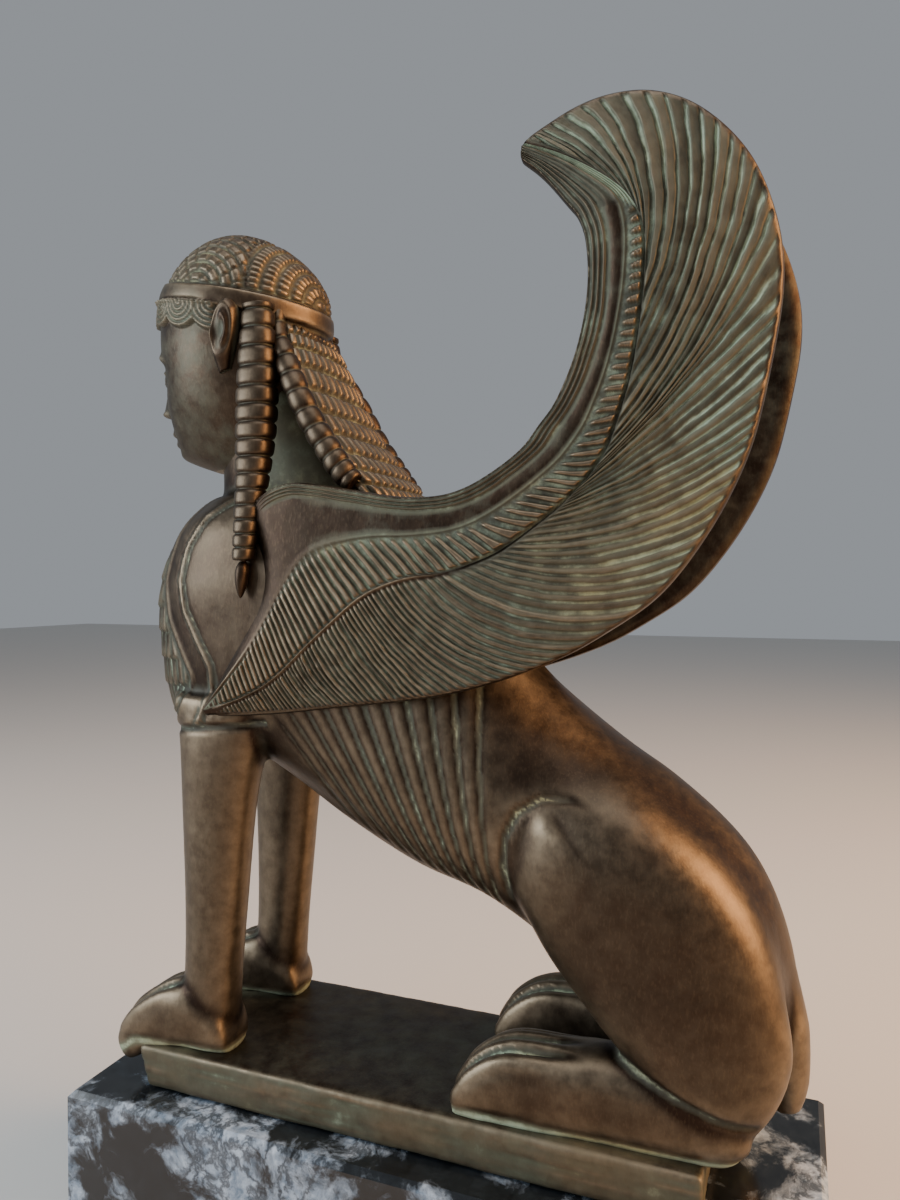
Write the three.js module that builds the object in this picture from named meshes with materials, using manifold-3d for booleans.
// A bronze sphinx standing on its own thin slab, on a block of polished marble. Millimetres, +Z up.
// The figure looks along -Y, its left side is +X, and the origin is the middle of the block's underside.
import * as THREE from 'three';
import Module from 'manifold-3d';

const wasm = await Module();
wasm.setup();

const FIGURE_HEIGHT = 235;      // from the slab's top to the top of the wings
const SLAB_LENGTH = 152;
const SLAB_WIDTH = 54;
const SLAB_THICKNESS = 11.5;
const SLAB_EDGE = 1.6;          // the slab's softened top edge
const SLAB_DRAFT = 3.5;         // how far the slab's front end slants in towards its foot
const MARBLE_LENGTH = 193;
const MARBLE_WIDTH = 72;
const MARBLE_HEIGHT = 49.7;
const MARBLE_ARRIS = 1.5;       // the bevel along the marble's edges
const SLAB_FROM_FRONT = 15.5;   // marble left bare in front of the slab
const BED_GAP = 0.3;            // between the marble and the slab
const FAR_WING_BACK = 4;        // the right wing stands this much further back at its top
const WING_THICKNESS = 4.6;

// The figure is drawn at 235 units of height, as y (front to back) and z (height above the slab) in
// its side view, and x out from its middle plane. This is one unit in millimetres.
const UNIT = FIGURE_HEIGHT / 235;

// The values at the place t, 0 to 1, of a smooth curve through evenly spaced rows of numbers.
function along(rows, t) {
  const place = Math.min(Math.max(t, 0), 1) * (rows.length - 1);
  const i = Math.min(Math.floor(place), rows.length - 2), f = place - i;
  const before = rows[Math.max(i - 1, 0)], after = rows[Math.min(i + 2, rows.length - 1)];
  return rows[i].map((p, k) => {
    const q = rows[i + 1][k], start = (q - before[k]) / 2, end = (after[k] - p) / 2;
    return p + f * (start + f * (3 * (q - p) - 2 * start - end + f * (2 * (p - q) + start + end)));
  });
}

// A solid from points in figure units and faces that may point in or out.
function solid(points, faces, unit = UNIT) {
  const volume = faces.reduce((sum, [a, b, c]) =>
    sum + points[a].dot(new THREE.Vector3().crossVectors(points[b], points[c])), 0);
  const out = volume > 0 ? faces : faces.map(([a, b, c]) => [a, c, b]);
  return new wasm.Manifold(new wasm.Mesh({
    numProp: 3,
    vertProperties: Float32Array.from(points.flatMap(p => p.toArray().map(v => v * unit))),
    triVerts: Uint32Array.from(out.flat()),
  }));
}

// A closed skin over rings of points, where at(i, j) is the point j of ring i.
function skin(rings, around, at, unit = UNIT) {
  const points = [], faces = [];
  for (let i = 0; i < rings; i++) for (let j = 0; j < around; j++) points.push(at(i, j));
  for (const row of [0, rings - 1]) {
    const middle = new THREE.Vector3();
    for (let j = 0; j < around; j++) middle.addScaledVector(points[row * around + j], 1 / around);
    points.push(middle);
  }
  const first = rings * around;
  for (let j = 0; j < around; j++) {
    const k = (j + 1) % around, last = first - around;
    faces.push([first, k, j], [first + 1, last + j, last + k]);
    for (let i = 0; i < last; i += around)
      faces.push([i + j, i + k, i + around + k], [i + j, i + around + k, i + around + j]);
  }
  return solid(points, faces, unit);
}

// A rounded body through stations [y1, z1, y2, z2, x, half width, squareness]: the two ends of its
// middle line in the side view, the distance of its centre from the middle plane, its half width,
// and 2 for an oval section or more for a squarer one. relief(point, t, a) raises the skin.
function loft(stations, rings, around, relief, side = 1) {
  const surface = (t, a) => {
    const [y1, z1, y2, z2, x, half, square] = along(stations, t);
    const [c, s] = [Math.cos(a), Math.sin(a)].map(v => Math.sign(v) * Math.abs(v) ** (2 / square));
    return new THREE.Vector3(x + half * s, (y1 + y2 + (y2 - y1) * c) / 2, (z1 + z2 + (z2 - z1) * c) / 2);
  };
  return skin(rings, around, (i, j) => {
    const t = i / (rings - 1), a = (j / around) * 2 * Math.PI;
    const p = surface(t, a);
    if (relief) {
      const step = t < 0.5 ? 0.004 : -0.004;
      const up = surface(t + step, a).sub(p), over = surface(t, a + 0.02).sub(p);
      const normal = up.cross(over).normalize();
      const opposite = surface(t, a + Math.PI);
      if (normal.dot(p.clone().sub(opposite)) < 0) normal.negate();
      p.addScaledVector(normal, relief(p, t, a));
    }
    p.x *= side;
    return p;
  });
}

const bump = (v, middle, width) => Math.exp(-(((v - middle) / width) ** 2));
const join = solids => solids.reduce((all, one) => all.add(one));

// Trunk: chest, belly and rump, with the raised border of the breast plumage and its scales.
const trunk = loft([
  [-62, 153, -40, 155, 0, 9, 2],
  [-68.6, 148.6, -30, 152, 0, 17.6, 2],
  [-76.4, 140, -18, 147, 0, 23.4, 2.1],
  [-81, 124, -5, 139, 0, 26, 2.3],
  [-80.5, 108, 6, 130.5, 0, 26, 2.4],
  [-78, 94, 15, 122.5, 0, 25.5, 2.4],
  [-71, 85, 22, 115.5, 0, 25, 2.4],
  [-54, 81.5, 30, 108.5, 0, 24.5, 2.3],
  [-38, 73.5, 38, 101.5, 0, 24.5, 2.2],
  [-20, 63, 48, 93.5, 0, 24.5, 2.2],
  [0, 53.5, 58, 86, 0, 24.5, 2.2],
  [20, 47.5, 68, 78.5, 0, 23.5, 2.2],
  [40, 36, 79, 68.5, 0, 21, 2.2],
  [56, 22, 88, 56.5, 0, 18, 2],
  [66, 10, 93.5, 42, 0, 13, 2],
  [74, 3, 94.5, 26, 0, 8, 2],
], 23, 24, (p, t, a) => p.y < -58 && p.z > 84 && p.z < 136 ? 0.6 * Math.sin(p.z * 0.8) : 0);

// Neck and nape, from between the shoulders up into the head.
const neck = loft([
  [-64, 146, -12, 146, 0, 12, 2.2],
  [-63.5, 156, -18, 156, 0, 11, 2.2],
  [-64, 166, -26, 168, 0, 11.5, 2.2],
  [-68, 178, -32, 182, 0, 13, 2.2],
], 4, 12);

// Head, as rings [height, front, back, half width], tipped back a little by the hair band's slope.
const headRings = [
  [160, -66, -42, 7], [162.5, -73, -40, 9], [165.5, -77.5, -38, 11.2], [171, -79.8, -36, 14.2],
  [178, -81.2, -34.5, 17.2], [186, -82.2, -33.2, 19.3], [194, -82.8, -32.4, 20.4], [202, -82.8, -32, 20.8],
  [209, -81.6, -32.4, 20.6], [215, -78.4, -35.6, 19], [219.8, -74, -40.2, 16.2],
  [223.6, -68.8, -45.6, 12], [226.2, -63, -51.6, 6.6], [227.2, -58.8, -56, 2],
];
const faceRelief = p => {
  if (p.y > -60) return 0;
  const x = Math.abs(p.x), z = p.z;
  const fade = THREE.MathUtils.smoothstep(-p.y, 62, 72);
  const noseRise = THREE.MathUtils.smoothstep(z, 176.2, 178.4) * THREE.MathUtils.clamp((196 - z) / 18, 0, 1);
  return fade * (5.2 * noseRise * bump(x, 0, 3.2)
    - 2 * bump(x, 8.2, 4.4) * bump(z, 187.5, 3.6) + 1.5 * bump(x, 8.4, 3.4) * bump(z, 187, 1.9)
    + 0.9 * bump(z, 192.2, 1.6) * bump(x, 8, 6)
    + 1.7 * bump(x, 0, 5.6) * bump(z, 171.6, 1.2) + 1.5 * bump(x, 0, 4.6) * bump(z, 168.9, 1.1)
    + 1.6 * bump(x, 0, 5) * bump(z, 164.9, 2.2)
    + 0.9 * bump(z, 199.5, 2.6) * (1 + 0.5 * Math.cos(x * 0.75)));
};
const bandMiddle = y => 205.8 + (-57 - y) * 0.19;
const capRelief = (p, a) => {
  const above = p.z - bandMiddle(p.y);
  const band = THREE.MathUtils.smoothstep(2.8 - Math.abs(above), 0, 0.8) * 1.1;
  const rows = above > 3 ? 0.45 * Math.cos(above * 1.35) * (0.6 + 0.4 * Math.cos(a * 15)) : 0;
  return band + rows;
};
const HEAD_LEVELS = [0, 0.09, 0.16, 0.22, 0.27, 0.31, 0.35, 0.39, 0.43, 0.47, 0.51, 0.545, 0.575, 0.6,
  0.63, 0.665, 0.7, 0.74, 0.78, 0.82, 0.86, 0.905, 0.955, 1];
const head = skin(HEAD_LEVELS.length, 26, (i, j) => {
  const [z, front, back, half] = along(headRings, HEAD_LEVELS[i]);
  const turn = (j / 26) * 2 * Math.PI, a = turn - 0.42 * Math.sin(turn);
  const p = new THREE.Vector3(half * Math.sin(a), (front + back) / 2 + (front - back) / 2 * Math.cos(a), z);
  const lift = faceRelief(p) + capRelief(p, a);
  const towards = new THREE.Vector3(p.x * 1.2, p.y + 57, Math.max(p.z - 205, 0)).normalize();
  return p.addScaledVector(towards, lift);
});

// Hair falling behind the neck to the shoulders, in rows of square locks.
const backHair = loft([
  [-42, 203, -36, 205, 0, 15, 2.4],
  [-39.5, 196, -32, 198, 0, 17.5, 2.6],
  [-37, 187, -29.5, 189, 0, 18.6, 2.8],
  [-34, 178, -24.6, 178, 0, 19, 2.8],
  [-29, 168, -18.6, 167.5, 0, 19.3, 2.8],
  [-22.5, 159.5, -11.4, 158.5, 0, 19.3, 2.8],
  [-15, 152.5, -5.4, 151.5, 0, 18.6, 2.8],
  [-8, 146.5, -2.5, 145.5, 0, 17, 2.8],
], 15, 18, (p, t, a) => 0.5 * Math.cos(t * Math.PI * 14) + 0.35 * Math.cos(a * 9));

// A braid of beads from behind the ear down over the breast, and an ear with its rim.
const braid = side => loft([
  [-43.6, 203, -36.4, 203, 16.5, 3.4, 2],
  [-43.4, 191, -36, 191, 17.5, 3.6, 2],
  [-44.4, 178, -35.4, 178, 18.6, 4.2, 2],
  [-44.2, 166, -35.2, 166, 20, 4.2, 2],
  [-43.4, 154, -35.4, 154, 22, 4, 2],
  [-43.4, 143, -36, 143, 24.8, 3.6, 2],
  [-42.6, 132, -37.4, 132, 26.4, 2.8, 2],
  [-41.6, 124, -39.2, 124, 26.8, 1.6, 2],
], 19, 6, (p, t) => 0.6 * Math.cos(t * Math.PI * 18), side);
const ear = side => loft([
  [-51, 185.5, -48, 186.5, 18.8, 2, 2],
  [-52.6, 189, -46.8, 190, 19.8, 2.6, 2],
  [-53.4, 195, -46, 195.5, 20.4, 2.8, 2],
  [-53, 200, -46.6, 200.5, 20.4, 2.8, 2],
  [-51.6, 203, -48.6, 203, 20, 2.2, 2],
], 5, 6, p => -0.8 * bump(p.y, -49.6, 1.6) * bump(p.z, 194, 5), side);

// Wing: each row is a feather line in the side view, from the upper edge past the border strip, the
// two ends of the short feathers and the middle of the long ones to the outer edge. The first number
// is the feather's place along the wing, out of 80.
const wingRows = [
  [0, -54, 95, -53.6, 94.6, -53, 94, -52.6, 93.4, -52.4, 92.8, -52.2, 92.2],
  [9, -44.5, 128, -43.4, 125.6, -38.5, 110, -34.5, 100, -32.5, 97.5, -30.5, 94],
  [17, -40, 145.5, -38.6, 142.6, -29.5, 124, -22.5, 110.5, -18, 103.5, -10.5, 97],
  [22, -29, 152.6, -27.6, 149.6, -21.5, 134, -11.5, 119.5, -4.5, 109, 4, 99],
  [27, -14, 151, -13.2, 147.8, -11, 138.5, -0.5, 127.5, 9.5, 114, 19, 101.5],
  [33, 4, 148, 5, 144.8, 8, 139, 16.5, 130, 25, 119.5, 37, 107],
  [39, 14.5, 148, 16, 145, 17.5, 140, 26.5, 133.5, 38.5, 126, 53, 116],
  [45, 23, 150.6, 25.6, 147.8, 27, 143.5, 33.5, 137.5, 48, 132.5, 67, 126],
  [53, 33.5, 157.6, 37.6, 156, 40.5, 153, 46, 147, 62, 146.5, 80, 145.5],
  [56, 38.6, 163.6, 43, 162.4, 46.8, 159.6, 52.5, 154.5, 68, 157, 84.6, 157.5],
  [61, 43, 169.6, 47.5, 169, 50.8, 166.6, 55.5, 161, 73, 169.5, 89, 178],
  [66, 47.5, 180.6, 52, 180, 54.8, 177.6, 59, 172.5, 77, 183.5, 90.4, 196],
  [70, 50, 194, 54.5, 193.6, 57.6, 191.8, 61.6, 188.6, 74.5, 205.5, 84.6, 216],
  [73, 50, 202.5, 54.6, 202.6, 58.3, 201.4, 62.6, 199, 71, 214, 73, 229.6],
  [75.5, 48, 209, 53, 209.4, 57.5, 209.4, 61.4, 207.6, 64, 219, 60.6, 235],
  [78, 43.6, 215.4, 48.6, 217, 51.6, 218.4, 53.4, 218.6, 51.4, 226, 48, 234.4],
  [80, 34.2, 225, 34.4, 226, 34.8, 227, 35.2, 227.6, 35.6, 228.2, 36, 229],
];
const WING_COLUMNS = 40;
// Across the outer face: [line, share towards the next line, height of the relief, ridged or not].
const wingFace = [[0, 0, 0.8, 0], [1, 0, 1.1, 0], [1, 0.2, 0, 0], [1, 0.85, 0, 0], [2, 0, 0.8, 1],
  [3, 0, 0.8, 1], [3, 0.15, 0.3, 1], [4, 0.3, 0.3, 1], [5, 0, -0.6, 0]];
const wing = side => skin(WING_COLUMNS + 1, wingFace.length + 2, (i, j) => {
  const feather = (i / WING_COLUMNS) * 80;
  const k = Math.min(wingRows.findLastIndex(row => row[0] <= feather), wingRows.length - 2);
  const share = (feather - wingRows[k][0]) / (wingRows[k + 1][0] - wingRows[k][0]);
  const row = along(wingRows, (k + share) / (wingRows.length - 1)).slice(1);
  const point = (line, part) => {
    const n = Math.min(line + 1, 5);
    return [row[2 * line] + (row[2 * n] - row[2 * line]) * part,
      row[2 * line + 1] + (row[2 * n + 1] - row[2 * line + 1]) * part];
  };
  const inner = j - wingFace.length;
  const [line, part, height, ridged] = inner < 0 ? wingFace[j] : [[5, 0], [0, 0]][inner];
  const [y, z] = point(line, part);
  const rise = THREE.MathUtils.smoothstep(feather, 27, 60);
  const face = 27.4 - 2.6 * rise + 0.9 * Math.sin(Math.PI * (line + part) / 5);
  const fold = ridged * 0.55 * (i % 2 ? 1 : -1);
  const x = inner < 0 ? face + height + fold : face - WING_THICKNESS / UNIT;
  const back = side < 0 ? FAR_WING_BACK * THREE.MathUtils.smoothstep(feather, 20, 60) : 0;
  return new THREE.Vector3(x * side, y + back, z);
});

// Hips and thighs, hind feet, forelegs and front paws.
const haunch = side => loft([
  [42, 80, 56, 83, 16, 3, 2],
  [32, 75, 67, 75, 16.8, 9, 2],
  [29, 67, 80, 64.5, 17.4, 11, 2.1],
  [29.4, 57, 88, 52.5, 17.6, 11.6, 2.1],
  [35, 46.5, 93, 39, 17.6, 11.4, 2.1],
  [44, 33, 94, 28, 17.4, 10.8, 2.1],
  [55, 21.5, 92.8, 19, 17.2, 9.8, 2.1],
  [62, 13.5, 89.5, 11, 17, 8.6, 2.1],
  [66, 6, 85, 5, 17, 6.5, 2],
], 8, 14, null, side);
const toes = (p, x, lift) => -0.9 * lift * Math.max(0, Math.cos((p.x - x) * 1.36)) ** 4;
const hindFoot = side => loft([
  [85, 2, 86, 9, 17, 4, 2],
  [80, -1.6, 81, 14, 17, 7.4, 2.2],
  [68, -2, 69, 18.5, 17, 8.8, 2.5],
  [54, -2, 54, 19.4, 17, 9, 2.6],
  [42, -2, 42, 18.4, 17, 9.6, 2.7],
  [30, -2, 29, 17, 17, 9.9, 2.7],
  [22, -2, 20.5, 11.5, 17, 9.6, 2.6],
  [17.5, -1.5, 16.4, 5, 17, 8.4, 2.4],
], 8, 16, (p, t) => toes(p, 17 + 2.3, THREE.MathUtils.smoothstep(t, 0.62, 0.8)), side);
const foreleg = side => loft([
  [-68, 97, -36, 97, 16.5, 9, 2.3],
  [-65.6, 84, -40.4, 82, 17.6, 8.6, 2.3],
  [-65, 66, -43.6, 66, 17.8, 7.8, 2.2],
  [-64.2, 40, -46.4, 40, 17.8, 7.2, 2.2],
  [-64.4, 20, -48.4, 20, 17.8, 7.2, 2.2],
  [-66, 1, -49.6, 0, 17.8, 7.8, 2.2],
], 5, 12, null, side);
const frontPaw = side => loft([
  [-48.6, -1, -48.6, 5, 17.8, 5.6, 2.2],
  [-52, -1.4, -51.4, 12, 17.8, 7.6, 2.3],
  [-60, -1.6, -59.6, 18.4, 17.8, 8.8, 2.5],
  [-67, -1.6, -68, 16.6, 17.8, 9.5, 2.6],
  [-73, -2.5, -75, 12.6, 17.8, 9.6, 2.6],
  [-75.5, -5, -80.6, 8, 17.8, 9.4, 2.6],
  [-77.5, -8, -84.4, 0.6, 17.8, 9, 2.5],
  [-79, -9.4, -83.4, -5.6, 17.8, 7, 2.3],
], 8, 16, (p, t) => toes(p, 17.8 + 2.3, THREE.MathUtils.smoothstep(t, 0.45, 0.65)), side);
const ribs = side => join([0, 1, 2, 3, 4].map(n => loft([
    [-24 + 11.5 * n, 93.5 + n, -21 + 11.5 * n, 94.5 + n, 24, 1.2, 2],
    [-19.5 + 11 * n, 84 - 0.5 * n, -16.5 + 11 * n, 85 - 0.5 * n, 23.9, 1.5, 2],
    [-13.5 + 10.2 * n, 73 - 2.6 * n, -10.5 + 10.2 * n, 74.5 - 2.6 * n, 22.4, 1.4, 2],
    [-7 + 9 * n, 66 - 4 * n, -4.5 + 9 * n, 67 - 4 * n, 19.6, 1, 2],
  ], 4, 4, null, side)));
// The raised edge of the breast plumage, from the neck down to the wing's root.
const plumageEdge = side => loft([
  [-48.4, 149.5, -46, 152, 17, 2, 2],
  [-56, 145, -53.8, 147.4, 20.6, 1.8, 2],
  [-62, 136.5, -59.6, 138, 22.6, 1.6, 2],
  [-64, 128, -61.4, 128, 23.4, 1.6, 2],
  [-61.6, 119, -59.4, 120.4, 24.2, 1.6, 2],
  [-56.6, 110, -54.4, 112, 25, 1.6, 2],
  [-53.4, 102, -50.8, 102.6, 25.2, 1.6, 2],
  [-56, 91, -53.4, 92, 24.4, 1.8, 2],
], 9, 4, null, side);

// Tail, lying down the middle of the rump and over the slab's end.
const tail = loft([
  [58, 78, 62, 86, 0, 4, 2],
  [78, 62, 84, 67, 0, 5.4, 2],
  [86, 44, 93.5, 47, 0, 6, 2],
  [88, 26, 97, 27, 0, 6, 2],
  [88, 12, 97.4, 12, 0, 5.6, 2],
  [89, 3, 95.6, 4, 0, 3.4, 2],
], 7, 8);

// Slab: a block with softened top edges, its front end slanting in towards the foot. Levels are
// [height, inset], from the underside up.
const slabLevels = [[-SLAB_THICKNESS, 0], [-SLAB_EDGE, 0], [-SLAB_EDGE * 0.3, SLAB_EDGE * 0.3], [0, SLAB_EDGE]];
const slab = skin(slabLevels.length, 8, (i, j) => {
  const [z, inset] = slabLevels[i], corner = 2;
  const length = SLAB_LENGTH / 2 - inset, width = SLAB_WIDTH / 2 - inset;
  const [x, y] = [[1, 0, 1], [1, 1, 0], [-1, 1, 0], [-1, 0, 1], [-1, 0, -1], [-1, -1, 0], [1, -1, 0], [1, 0, -1]]
    .map(([sx, cx, sy]) => sy ? [sx * width, sy * (length - corner)] : [sx * (width - corner), cx * length])[j];
  const slant = y < 0 ? SLAB_DRAFT * (-z / SLAB_THICKNESS) : 0;
  return new THREE.Vector3(x, y + slant, z);
}, 1);

const figure = join([trunk, neck, head, backHair, tail, slab,
  ...[1, -1].flatMap(side => [wing(side), haunch(side), hindFoot(side), foreleg(side), frontPaw(side),
    braid(side), ear(side), ribs(side), plumageEdge(side)])]);

function geometryOf(body) {
  const mesh = body.getMesh();
  const geometry = new THREE.BufferGeometry();
  geometry.setAttribute('position', new THREE.BufferAttribute(mesh.vertProperties, 3));
  geometry.setIndex(new THREE.BufferAttribute(mesh.triVerts, 1));
  return geometry;
}

const bronze = new THREE.MeshStandardMaterial({ color: '#3a2a22', roughness: 0.42, metalness: 0.9 });
const marble = new THREE.MeshStandardMaterial({ color: '#34383c', roughness: 0.22, metalness: 0 });

const sphinx = new THREE.Mesh(geometryOf(figure), bronze);
sphinx.name = 'bronze_sphinx';
sphinx.position.set(0, -MARBLE_LENGTH / 2 + SLAB_FROM_FRONT + SLAB_LENGTH / 2,
  MARBLE_HEIGHT + BED_GAP + SLAB_THICKNESS);

// The marble block has its edges bevelled all round.
const outline = new THREE.Shape();
const halfWidth = MARBLE_WIDTH / 2 - MARBLE_ARRIS, halfLength = MARBLE_LENGTH / 2 - MARBLE_ARRIS;
outline.moveTo(-halfWidth, -halfLength);
outline.lineTo(halfWidth, -halfLength);
outline.lineTo(halfWidth, halfLength);
outline.lineTo(-halfWidth, halfLength);
const block = new THREE.Mesh(new THREE.ExtrudeGeometry(outline, {
  depth: MARBLE_HEIGHT - 2 * MARBLE_ARRIS, bevelThickness: MARBLE_ARRIS, bevelSize: MARBLE_ARRIS,
  bevelSegments: 1, curveSegments: 1,
}), marble);
block.name = 'marble_plinth';
block.position.z = MARBLE_ARRIS;

const part = new THREE.Group();
part.add(block, sphinx);
export default part;
